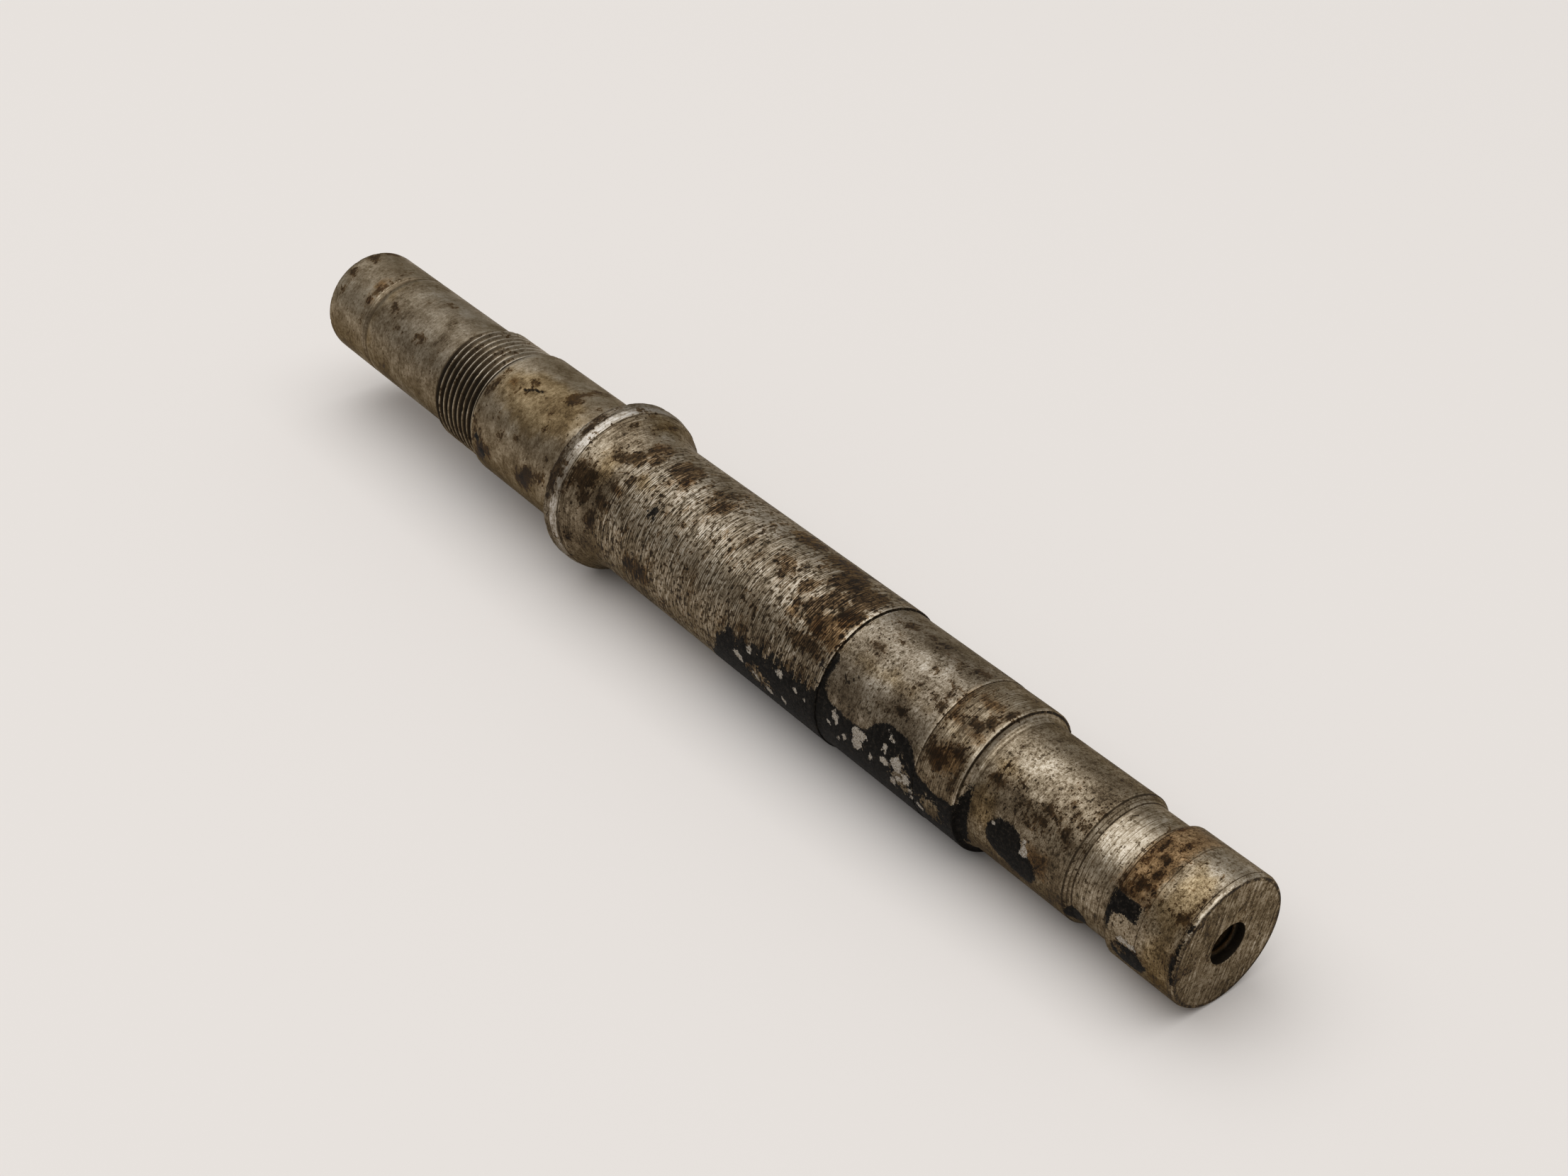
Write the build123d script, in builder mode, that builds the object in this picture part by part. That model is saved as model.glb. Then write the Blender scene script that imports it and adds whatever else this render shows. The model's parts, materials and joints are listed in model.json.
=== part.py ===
from build123d import *
from math import atan, cos, radians, sin, tan
import os

# A stepped shaft, turned and ground from one bar. It lies as it comes to rest on a flat
# surface: on the collar, and on whichever rim nearer the tapped end the surface meets first.
# The origin is the centre of the footprint, on the surface. Stations count from the far end,
# which is the one with the thread, and lengths are in millimetres.

# Diameters
seat_diameter = 20.0            # ground seats at both ends, bearing size
thread_diameter = 21.75         # crests of the M22 x 1.5 thread
far_journal_diameter = 22.9
collar_diameter = 29.0
collar_rim_diameter = 28.4      # where the rubbed bevel meets the hollow flank
shank_diameter = 23.5
near_journal_diameter = 22.85
band_diameter = 22.7
neck_diameter = 18.35

# Lengths along the axis, from the far end to the near end
far_seat_length = 12.9
groove_width = 1.4
far_land_length = 25.0
thread_length = 13.2
far_journal_length = 27.2
collar_rim_width = 2.1
collar_bevel_width = 1.4
shank_length = 62.8             # the hollow flank of the collar included
near_journal_length = 20.8
band_length = 8.0
near_land_length = 19.6
neck_length = 7.7
near_seat_length = 11.8

# Edges and small forms
groove_depth = 0.25
far_chamfer = 0.6
near_chamfer_width = 0.7
near_chamfer_depth = 0.3
thread_chamfer = 0.5
flank_length = 7.0              # hollow flank, tangent to the shank
root_fillet_length = 1.35       # hollow root between band and near land
neck_slope_length = 1.2

# Tapped centre hole in the near end, and the plain turning centre in the far end
mouth_diameter = 6.4
mouth_depth = 1.2
tap_diameter = 5.0              # tapping size of M6
tap_depth = 16.0
drill_angle = 118.0
centre_pilot_diameter = 2.5
centre_mouth_diameter = 5.3
centre_depth = 5.5
centre_angle = 60.0

# Radii
seat_r = seat_diameter / 2
thread_r = thread_diameter / 2
far_journal_r = far_journal_diameter / 2
collar_r = collar_diameter / 2
collar_rim_r = collar_rim_diameter / 2
shank_r = shank_diameter / 2
near_journal_r = near_journal_diameter / 2
band_r = band_diameter / 2
neck_r = neck_diameter / 2
groove_r = seat_r - groove_depth

# Stations
groove_start = far_seat_length
groove_end = groove_start + groove_width
thread_start = groove_end + far_land_length
thread_end = thread_start + thread_length
collar_start = thread_end + far_journal_length
bevel_start = collar_start + collar_rim_width
bevel_end = bevel_start + collar_bevel_width
shank_end = bevel_end + shank_length
near_journal_end = shank_end + near_journal_length
band_end = near_journal_end + band_length
neck_start = band_end + near_land_length
neck_end = neck_start + neck_length
near_end = neck_end + near_seat_length
near_rim = near_end - near_chamfer_width

# The shaft tips about the front of the collar's full rim until the first near rim touches.
near_rims = [(shank_end, shank_r), (near_journal_end, near_journal_r), (band_end, band_r), (near_rim, seat_r)]
rest_slope = min((collar_r - rim_r) / (station - bevel_start) for station, rim_r in near_rims)
tilt = atan(rest_slope)

# The plane of the half profile: its X runs down the tilted axis, its Y is the radius,
# level and across the shaft.
far_reach = (seat_r - far_chamfer) * sin(tilt)
near_reach = near_end * cos(tilt) + (seat_r - near_chamfer_depth) * sin(tilt)
axis_start = (
    (far_reach - near_reach) / 2,
    0,
    bevel_start * sin(tilt) + collar_r * cos(tilt),
)
axis_plane = Plane(
    origin=axis_start,
    x_dir=(cos(tilt), 0, -sin(tilt)),
    z_dir=(sin(tilt), 0, cos(tilt)),
)

# The end faces, each looking out along the axis, and the bottom of the tapping bore
near_face = Plane(origin=axis_plane.from_local_coords((near_end, 0, 0)), z_dir=axis_plane.x_dir)
far_face = Plane(origin=axis_plane.origin, z_dir=-axis_plane.x_dir)
tap_bottom = Plane(
    origin=axis_plane.from_local_coords((near_end - tap_depth, 0, 0)),
    z_dir=-axis_plane.x_dir,
)
drill_cone_height = tap_diameter / 2 / tan(radians(drill_angle / 2))

with BuildPart() as shaft:
    with BuildSketch(axis_plane):
        with BuildLine():
            Polyline(
                (0, 0),
                (0, seat_r - far_chamfer),
                (far_chamfer, seat_r),
                (groove_start, seat_r),
                (groove_start + groove_width / 2, groove_r),
                (groove_end, groove_r),
                (groove_end, seat_r),
                (thread_start, seat_r),
                (thread_start, thread_r - thread_chamfer),
                (thread_start + thread_chamfer, thread_r),
                (thread_end, thread_r),
                (thread_end, far_journal_r),
                (collar_start, far_journal_r),
                (collar_start, collar_r),
                (bevel_start, collar_r),
                (bevel_end, collar_rim_r),
            )
            flank = TangentArc(
                (bevel_end + flank_length, shank_r),
                (bevel_end, collar_rim_r),
                tangent=(-1, 0),
            )
            Polyline(
                flank @ 0,
                (shank_end, shank_r),
                (shank_end, near_journal_r),
                (near_journal_end, near_journal_r),
                (near_journal_end, band_r),
                (band_end, band_r),
            )
            root = TangentArc(
                (band_end + root_fillet_length, seat_r),
                (band_end, band_r),
                tangent=(-1, 0),
            )
            Polyline(
                root @ 0,
                (neck_start, seat_r),
                (neck_start + neck_slope_length, neck_r),
                (neck_end, neck_r),
                (neck_end, seat_r),
                (near_rim, seat_r),
                (near_end, seat_r - near_chamfer_depth),
                (near_end, 0),
                (0, 0),
            )
        make_face()
    revolve(axis=Axis(axis_plane.origin, axis_plane.x_dir))

    # Tapped centre in the near end: mouth, tapping bore and the drill's cone below it
    with Locations(near_face):
        CounterBoreHole(tap_diameter / 2, mouth_diameter / 2, mouth_depth, depth=tap_depth)
    with Locations(tap_bottom):
        Cone(
            tap_diameter / 2,
            0,
            drill_cone_height,
            align=(Align.CENTER, Align.CENTER, Align.MIN),
            mode=Mode.SUBTRACT,
        )

    # Turning centre in the far end
    with Locations(far_face):
        CounterSinkHole(
            centre_pilot_diameter / 2,
            centre_mouth_diameter / 2,
            depth=centre_depth,
            counter_sink_angle=centre_angle,
        )

os.makedirs("parts", exist_ok=True)
shaft.part.label = "shaft"
export_step(shaft.part, "parts/shaft.step")
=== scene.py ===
import json
import math

import bmesh
import bpy
import numpy as np
from mathutils import Matrix, Vector, noise


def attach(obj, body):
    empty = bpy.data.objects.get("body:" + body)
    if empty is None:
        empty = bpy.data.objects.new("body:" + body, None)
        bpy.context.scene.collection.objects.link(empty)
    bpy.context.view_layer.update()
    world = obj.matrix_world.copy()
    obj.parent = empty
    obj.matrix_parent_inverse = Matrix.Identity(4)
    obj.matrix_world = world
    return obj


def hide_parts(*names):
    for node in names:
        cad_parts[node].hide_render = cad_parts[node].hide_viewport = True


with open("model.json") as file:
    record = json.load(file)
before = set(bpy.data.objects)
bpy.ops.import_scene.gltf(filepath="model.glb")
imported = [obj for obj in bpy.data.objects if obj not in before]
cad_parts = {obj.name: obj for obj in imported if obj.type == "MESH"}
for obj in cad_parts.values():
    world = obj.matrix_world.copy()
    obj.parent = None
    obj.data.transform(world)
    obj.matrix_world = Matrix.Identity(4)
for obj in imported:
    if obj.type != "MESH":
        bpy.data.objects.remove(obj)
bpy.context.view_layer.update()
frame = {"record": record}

# A stepped shaft, used and stained, lying on a pale sheet. Its skin is one closed mesh in the shaft's own
# coordinates: a station is the distance in millimetres from the far, threaded end, and an angle is counted
# round the axis from the top towards the side that faces the camera.
MM = 0.001


# ------ sizes in millimetres, from the mounts

FAR_CHAMFER = 0.6
mounts = {mount["name"]: mount for mount in frame["record"]["mounts"]}
far_seat_middle = FAR_CHAMFER + mounts["far_seat"]["dims"]["length_mm"] / 2
AXIS = Vector(mounts["shank"]["axis"]).normalized()
AXIS_START = Vector(mounts["far_seat"]["pos_m"]) - AXIS * far_seat_middle * MM


def radius_of(name):
    """The radius of a mount's round surface."""
    return mounts[name]["dims"]["r_mm"]


def stations_of(name):
    """Where a mount's surface starts and ends, to a hundredth of a millimetre."""
    middle = (Vector(mounts[name]["pos_m"]) - AXIS_START).dot(AXIS) / MM
    half = mounts[name]["dims"].get("length_mm", 0) / 2
    return round(middle - half, 2), round(middle + half, 2)


SEAT_R = radius_of("far_seat")
THREAD_R = radius_of("nut_thread")
FAR_JOURNAL_R = radius_of("far_journal")
SHANK_R = radius_of("shank")
NEAR_JOURNAL_R = radius_of("near_journal")
GROOVE_R = SEAT_R - 0.25
COLLAR_R = 14.5
COLLAR_RIM_R = 14.2
BAND_R = NEAR_JOURNAL_R - 0.075
NECK_R = 9.175

GROOVE_START = stations_of("far_seat")[1]
GROOVE_END, THREAD_START = stations_of("far_land")
THREAD_END = stations_of("nut_thread")[1]
COLLAR_START = stations_of("far_journal")[1]
BEVEL_START = COLLAR_START + 2.1
BEVEL_END = BEVEL_START + 1.4
FLANK_END, SHANK_END = stations_of("shank")
NEAR_JOURNAL_END = SHANK_END + 20.8
BAND_END = stations_of("near_journal")[1]
ROOT_END, NECK_START = stations_of("near_land")
NECK_FULL = NECK_START + 1.2
NECK_END, NEAR_RIM = stations_of("near_seat")
NEAR_END = stations_of("near_face")[1]

# Outside thread, M22 x 1.5: places in one pitch, and how deep each lies
PITCH = 1.5
THREAD_DEPTH = 0.86
THREAD_FORM = [
    (0.0, 0.0), (0.06, 0.0), (0.17, 0.4), (0.34, 0.9), (0.5, 1.0), (0.66, 0.9), (0.83, 0.4), (0.94, 0.0),
]
# Tapped centre, M6, with its recess and the drill's cone, and the plain turning centre of the far end
TAP_PITCH = 1.0
TAP_FORM = [(0.0, 0.0), (0.1, 0.0), (0.42, 1.0), (0.58, 1.0), (0.9, 0.0)]
TAP_R = radius_of("tapped_centre")
TAP_MAJOR_R = 3.0
TAP_END, TAP_START = stations_of("tapped_centre")
MOUTH_R = 3.2
MOUTH_WALL_R = MOUTH_R - 0.06
DRILL_TIP = 1.47
CENTRE_MOUTH_R, CENTRE_PILOT_R = 2.65, 1.25
CENTRE_CONE, CENTRE_DEPTH = 2.42, 5.5

COLUMNS = 188  # of the mesh round the shaft, a multiple of the bore's
BORE_COLUMNS = 47
EDGE = 0.14  # how far the rim of a step is worn back


# ------ the skin's rings and rows

def onward(rings, step, *points):
    """The rings, and more of them from the last one on through points, no further apart than step."""
    rings = list(rings)
    for s1, r1 in points:
        s0, r0 = rings[-1]
        count = max(1, math.ceil(math.hypot(s1 - s0, r1 - r0) / step))
        rings += [(s0 + (s1 - s0) * i / count, r0 + (r1 - r0) * i / count) for i in range(1, count + 1)]
    return rings


def hollow(start, end, count):
    """A hollow arc from start that runs out level at end."""
    (s0, r0), (s1, r1) = start, end
    radius = ((s1 - s0) ** 2 + (r0 - r1) ** 2) / (2 * (r0 - r1))
    turn = math.asin((s1 - s0) / radius)
    angles = [turn * (1 - i / count) for i in range(count + 1)]
    return [(s1 - radius * math.sin(a), r1 + radius * (1 - math.cos(a))) for a in angles]


class Skin:
    """Points and faces of the mesh, with rows of point numbers that run round the axis."""

    def __init__(self):
        self.points = []
        self.faces = []

    def ring(self, s, r, columns=COLUMNS):
        """A row at one station; r is one radius or one for each column."""
        first = len(self.points)
        radii = r if hasattr(r, "__len__") else [r] * columns
        self.points += [(s, radii[j], 2 * math.pi * j / columns) for j in range(columns)]
        return list(range(first, first + columns))

    def face(self, corners):
        """A face without the corners that fall together."""
        kept = [c for i, c in enumerate(corners) if c != corners[i - 1]]
        if len(set(kept)) > 2:
            self.faces.append(kept)

    def join(self, row, following):
        """Faces between two closed rows."""
        for j in range(len(row)):
            k = (j + 1) % len(row)
            self.face([row[j], row[k], following[k], following[j]])

    def lathe(self, rings, before, columns=COLUMNS):
        """Rings of (station, radius), joined to the row before them."""
        for s, r in rings:
            row = self.ring(s, r, columns)
            self.join(before, row)
            before = row
        return before

    def step_down(self, fine, coarse):
        """Faces between a ring and one with fewer columns."""
        share = len(fine) // len(coarse)
        for j in range(len(coarse)):
            k = (j + 1) % len(coarse)
            outer = [fine[(j * share + i) % len(fine)] for i in range(share + 1)]
            self.faces.append([coarse[j]] + outer + [coarse[k]])

    def helix(self, start_row, end_row, start, end, pitch, form, radius):
        """Rows that follow a right-hand thread from start to end, cut off by the two rows there. form has
        the rows' places in one pitch, and radius(place, station, angle) gives the thread's radius."""
        closest = 0.02
        places = [place for place, _ in form]
        count = len(places)
        columns = len(start_row)
        length = abs(end - start)
        sign = 1 if end > start else -1
        turns = math.ceil(length / pitch) + 1
        rows = {}
        for k in range(-count, turns * count):
            row = []
            for j in range(columns):
                angle = 2 * math.pi * j / columns
                run = (k // count + places[k % count]) * pitch + sign * pitch * j / columns
                if run <= closest:
                    row.append(start_row[j])
                elif run >= length - closest:
                    row.append(end_row[j])
                else:
                    row.append(len(self.points))
                    s = start + sign * run
                    self.points.append((s, radius(places[k % count], s, angle), angle))
            rows[k] = row
        # Past the last column a row goes on as the first column of the row one pitch further
        shift = count * sign
        for k in range(-count, turns * count - 1):
            for j in range(columns):
                if j + 1 < columns:
                    following, beyond = rows[k][j + 1], rows[k + 1][j + 1]
                else:
                    a, b = k + shift, k + 1 + shift
                    following = rows[a][0] if a in rows else (start_row if a < 0 else end_row)[0]
                    beyond = rows[b][0] if b in rows else (start_row if b < 0 else end_row)[0]
                self.face([rows[k][j], following, beyond, rows[k + 1][j]])


def around(s, angle, length, radius=11.0):
    """Noise coordinates on the shaft's surface, in units of length."""
    return Vector((s / length, radius * math.cos(angle) / length, radius * math.sin(angle) / length))


def thread_radius(place, s, angle):
    """The worn outside thread: its crests are nicked, and the first turn feathers in from the land."""
    depth = dict(THREAD_FORM)[place]
    worn = 0.05 + 0.06 * max(0.0, noise.noise(Vector((s * 0.9, math.cos(angle) * 3, math.sin(angle) * 3))))
    nick = max(0.0, noise.noise(around(s, angle, 1.3)) - 0.45) * 0.6
    crest = THREAD_R - (worn + min(nick, 0.1)) * (1 - depth)
    lead = SEAT_R + 0.15 + (s - THREAD_START) * 1.1
    return min(crest - THREAD_DEPTH * depth, max(lead, THREAD_R - THREAD_DEPTH - 0.05))


def tap_radius(place, s, angle):
    """The inside thread, cut outwards from the tapping bore."""
    return TAP_R + (TAP_MAJOR_R - TAP_R) * dict(TAP_FORM)[place]


def end_face(skin, rim, s, radii):
    """Flat rings of an end face inwards, the last one with the bore's coarser columns."""
    row = skin.lathe([(s, r) for r in radii[:-1]], rim)
    coarse = skin.ring(s, radii[-1], BORE_COLUMNS)
    skin.step_down(row, coarse)
    return coarse


def far_face(skin, rim):
    """The far face and its turning centre."""
    row = end_face(skin, rim, 0.0, [8.4, 7.0, 5.5, 4.0, CENTRE_MOUTH_R])
    centre = [(CENTRE_CONE / 2, 1.95), (CENTRE_CONE, CENTRE_PILOT_R), (CENTRE_DEPTH, CENTRE_PILOT_R)]
    row = skin.lathe(centre, row, BORE_COLUMNS)
    skin.faces.append(row)


def far_seat_and_land(rings):
    """Far chamfer, seat, the groove with its sharp near side, and the land up to the thread."""
    rings = onward(rings, 0.2, (0.25, SEAT_R - 0.32), (FAR_CHAMFER, SEAT_R - 0.04))
    rings = onward(rings, 0.75, (0.9, SEAT_R), (GROOVE_START - 0.1, SEAT_R))
    rings = onward(
        rings, 0.25, (GROOVE_START + 0.7, GROOVE_R), (GROOVE_END - 0.12, GROOVE_R),
        (GROOVE_END, GROOVE_R + 0.08), (GROOVE_END + 0.05, SEAT_R - 0.05), (GROOVE_END + EDGE, SEAT_R),
    )
    return onward(rings, 0.85, (THREAD_START, SEAT_R))


def thread_end(skin):
    """The ring that cuts the outside thread off, with the thread's own form round it."""
    places, depths = zip(*THREAD_FORM, (1.0, 0.0))
    phases = [((THREAD_END - THREAD_START) / PITCH - j / COLUMNS) % 1 for j in range(COLUMNS)]
    depth = np.interp(phases, places, depths)
    return skin.ring(THREAD_END, THREAD_R - 0.08 - THREAD_DEPTH * 0.8 * depth)


def far_journal_and_collar():
    """Far journal, with finer rings under the gouge, square shoulder, collar, bevel and hollow flank."""
    gouge_start, gouge_end = 57.5, 65.5
    rings = [(THREAD_END + 0.01, FAR_JOURNAL_R - 0.2)]
    rings = onward(
        rings, 0.6, (THREAD_END + 0.06, FAR_JOURNAL_R - 0.06), (THREAD_END + 0.2, FAR_JOURNAL_R),
        (gouge_start, FAR_JOURNAL_R),
    )
    rings = onward(rings, 0.36, (gouge_end, FAR_JOURNAL_R))
    rings = onward(
        rings, 0.75, (COLLAR_START - 0.15, FAR_JOURNAL_R), (COLLAR_START, FAR_JOURNAL_R + 0.15),
        (COLLAR_START, COLLAR_R - 0.3), (COLLAR_START + 0.08, COLLAR_R - 0.1),
        (COLLAR_START + 0.3, COLLAR_R),
    )
    rings = onward(
        rings, 0.25, (BEVEL_START, COLLAR_R), (BEVEL_END - 0.1, COLLAR_RIM_R + 0.03),
        (BEVEL_END, COLLAR_RIM_R - 0.07),
    )
    return rings + hollow((BEVEL_END, COLLAR_RIM_R), (FLANK_END, SHANK_R), 24)[1:]


def shank_and_band(rings):
    """Shank, near journal, band and the band's hollow root."""
    rings = onward(rings, 0.72, (SHANK_END - EDGE, SHANK_R))
    rings = onward(
        rings, 0.5, (SHANK_END - 0.04, SHANK_R - 0.04), (SHANK_END, SHANK_R - 0.12),
        (SHANK_END, NEAR_JOURNAL_R + 0.04), (SHANK_END + 0.1, NEAR_JOURNAL_R),
        (NEAR_JOURNAL_END - 0.1, NEAR_JOURNAL_R), (NEAR_JOURNAL_END, NEAR_JOURNAL_R - 0.03),
        (NEAR_JOURNAL_END + 0.05, BAND_R - 0.03), (NEAR_JOURNAL_END + 0.2, BAND_R),
    )
    rings = onward(rings, 0.45, (BAND_END - 0.2, BAND_R), (BAND_END - 0.05, BAND_R - 0.06))
    root = hollow((BAND_END, BAND_R - 0.1), (ROOT_END, SEAT_R + 0.06), 8)
    return rings + [(s, r - 0.06) for s, r in root]


def land_neck_and_seat(rings):
    """Near land, neck with its sloped start, near seat and the worn chamfer of its rim."""
    rings = onward(rings, 0.5, (ROOT_END + 0.05, SEAT_R), (NECK_START - 0.1, SEAT_R))
    rings = onward(
        rings, 0.25, (NECK_START, SEAT_R - 0.05), (NECK_FULL - 0.15, NECK_R + 0.08), (NECK_FULL, NECK_R),
    )
    rings = onward(
        rings, 0.36, (NECK_END - 0.1, NECK_R), (NECK_END, NECK_R + 0.1), (NECK_END, SEAT_R - 0.45),
        (NECK_END, SEAT_R - 0.13), (NECK_END + 0.05, SEAT_R - 0.05), (NECK_END + EDGE, SEAT_R),
    )
    rings = onward(rings, 0.42, (NEAR_RIM, SEAT_R))
    return onward(rings, 0.16, (NEAR_RIM + 0.45, SEAT_R - 0.14), (NEAR_END, SEAT_R - 0.3))


def near_face(skin, rim):
    """The near face and the tapped centre down to the drill's tip."""
    row = end_face(skin, rim, NEAR_END, [9.2, 8.5, 7.8, 7.0, 6.2, 5.4, 4.6, 3.9, MOUTH_R])
    mouth = [(NEAR_END - 0.12, MOUTH_WALL_R), (TAP_START, MOUTH_WALL_R), (TAP_START, TAP_R + 0.3)]
    row = skin.lathe(mouth, row, BORE_COLUMNS)
    bottom = skin.ring(TAP_END, TAP_R, BORE_COLUMNS)
    skin.helix(row, bottom, TAP_START, TAP_END, TAP_PITCH, TAP_FORM, tap_radius)
    tip = skin.lathe([(TAP_END - DRILL_TIP, 0.05)], bottom, BORE_COLUMNS)
    skin.faces.append(tip)


def shaft_skin():
    """Every row from the bottom of the far centre to the bottom of the tapped centre."""
    skin = Skin()
    far_rim = (0.0, SEAT_R - FAR_CHAMFER)
    row = skin.ring(*far_rim)
    far_face(skin, row)
    before_thread = skin.lathe(far_seat_and_land([far_rim])[1:], row)
    after_thread = thread_end(skin)
    skin.helix(before_thread, after_thread, THREAD_START, THREAD_END, PITCH, THREAD_FORM, thread_radius)
    rings = land_neck_and_seat(shank_and_band(far_journal_and_collar()))
    near_face(skin, skin.lathe(rings, after_thread))
    return skin


# ------ stains and damage
# Each mark is (station, angle in degrees, half length along the axis, half width round it, both in
# millimetres), and a fifth number is the lean of its long side in degrees.

TAR = [
    (183.5, 87, 3.6, 3.1), (186.6, 97, 3, 2.5, 10), (175.55, 95, 0.95, 5.6, 3), (146.7, 100, 0.8, 6.5, 6),
    (146.5, 57, 0.5, 3.4), (101.2, 43, 0.5, 0.75, 10), (54.6, 86, 0.8, 0.7, 10), (56, 98, 0.9, 0.9),
    (213.4, 50, 0.18, 1.2), (213.35, 67, 0.32, 1.4), (213.3, 82, 0.38, 1.5), (213.5, 96, 0.2, 0.8),
    (206.2, 106, 3, 2), (196, 116, 1.6, 2),
]
TAR_BLOCKS = [(204.3, 65, 2.25, 1.25), (202, 75, 0.65, 2.6), (202.9, 71, 1.2, 0.6)]
# Upper edge of the tar that covers the side low down: (station, angle)
TAR_EDGE = [
    (116, 150), (121, 112), (124, 84), (128, 78), (131, 80), (134, 75), (138, 77), (145.9, 73), (146.1, 62),
    (147.4, 72), (149, 77), (153, 79), (156.6, 77), (157.6, 68), (160, 60.5), (163, 61), (165.5, 65),
    (167.2, 80), (171, 84), (174.8, 82), (175.2, 150),
]
TAR_LOWER_EDGE = 176
TAR_START = 120  # where the tar of the shank starts
NO_TAR = 400  # an angle that no point reaches

# Flakes of chalky old paint in the tar, and patches where it is half scraped off
FLAKES = [
    (137.8, 84, 0.7, 0.9), (141.4, 87, 0.8, 0.5), (143.6, 89, 0.4, 0.35), (130.6, 83, 0.6, 0.7, 20),
    (135, 108, 0.9, 0.7, 20), (138.6, 107, 0.6, 0.8, -20), (132, 103, 0.9, 0.5, 30),
    (128.4, 96, 1.2, 0.6, 20), (150.2, 85, 0.7, 1.1, -25), (148.9, 93, 0.5, 0.4), (155.3, 84, 1.6, 1),
    (155.1, 92, 1.1, 1.3, 10), (158, 96, 0.4, 0.8), (160.9, 89, 0.9, 0.7), (160.6, 79, 0.5, 0.7),
    (161.6, 69, 0.9, 0.4, 35), (163.3, 85, 1.2, 1.2, 30), (165.4, 91, 0.9, 1), (166.4, 101, 0.35, 1.5),
    (164, 95, 1, 0.5, -20), (152.3, 97, 0.5, 0.9, 20), (151, 102, 0.5, 0.6), (162.8, 102, 0.5, 0.8),
    (168, 108, 0.9, 0.5, 20), (186.9, 81.5, 0.75, 1.2, -20), (205.1, 92, 0.95, 0.6), (206.7, 93, 0.8, 0.5),
    (156.8, 82, 0.4, 0.5), (181.1, 77.5, 0.35, 0.35),
]
SCRAPES = [
    (132.5, 101, 4.2, 2.4, 16), (164, 92, 3, 4), (155, 88, 2, 2.6), (171, 100, 3.4, 2.6),
    (204.8, 101, 3, 1.2),
]

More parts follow.
